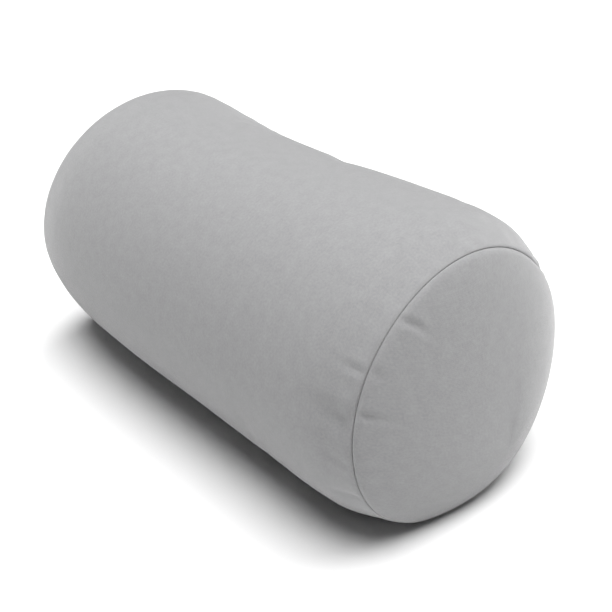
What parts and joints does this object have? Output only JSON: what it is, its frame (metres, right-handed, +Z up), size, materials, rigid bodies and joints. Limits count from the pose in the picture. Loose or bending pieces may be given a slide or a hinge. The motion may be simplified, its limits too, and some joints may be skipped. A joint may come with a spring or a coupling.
{
  "type": "bolster pillow",
  "caption": "Round microbead bolster pillow in a plain grey stretch-knit cover with domed sewn-in ends, a flat resting side and a straight zip along the back.",
  "frame": {"origin": "on the flat resting side, midway between the end seams and straight below the pillow's axis", "axes": "+X along the pillow's length towards the near end, +Z up from the resting side, +Y to the back where the zip is"},
  "size_m": [0.3635, 0.2065, 0.18],
  "materials": {
    "cover_knit": "fine smooth stretch knit, matte with a faint bloom",
    "sewing_thread": "twisted polyester thread",
    "zip_tape": "woven polyester tape, matte",
    "zip_teeth": "moulded acetal, satin",
    "zip_metal": "nickel-plated zinc casting, satin",
    "label_ribbon": "white satin ribbon, blank",
    "liner_cloth": "thin white plain weave",
    "liner_thread": "white overlock thread",
    "foam_beads": "loose expanded polystyrene beads"
  },
  "bodies": {
    "pillow": {"cover_body_panel": "cover_knit", "cover_near_end_panel": "cover_knit", "cover_far_end_panel": "cover_knit", "cover_near_seam_thread": "sewing_thread", "cover_far_seam_thread": "sewing_thread", "zip_tape_upper": "zip_tape", "zip_tape_lower": "zip_tape", "zip_teeth_upper": "zip_teeth", "zip_teeth_lower": "zip_teeth", "zip_top_stop_upper": "zip_metal", "zip_top_stop_lower": "zip_metal", "zip_bottom_stop": "zip_metal", "zip_stitching": "sewing_thread", "care_label": "label_ribbon", "liner_body_panel": "liner_cloth", "liner_near_end_panel": "liner_cloth", "liner_far_end_panel": "liner_cloth", "liner_near_seam_thread": "liner_thread", "liner_far_seam_thread": "liner_thread", "bead_filling": "foam_beads"},
    "zip_slider": {"zip_slider": "zip_metal", "zip_slider_back": "zip_metal"},
    "pull_tab": {"zip_pull_tab": "zip_metal"}
  },
  "joints": [
    {"name": "zip_slide", "type": "slide", "parent": "pillow", "child": "zip_slider", "axis": [-1, 0, 0], "range_m": [0, 0.224]},
    {"name": "pull_tab_hinge", "type": "hinge", "parent": "zip_slider", "child": "pull_tab", "pos_m": [0.112, 0.09432, 0.10727], "axis": [0, 0.2588, -0.9659], "range_deg": [0, 175]}
  ]
}
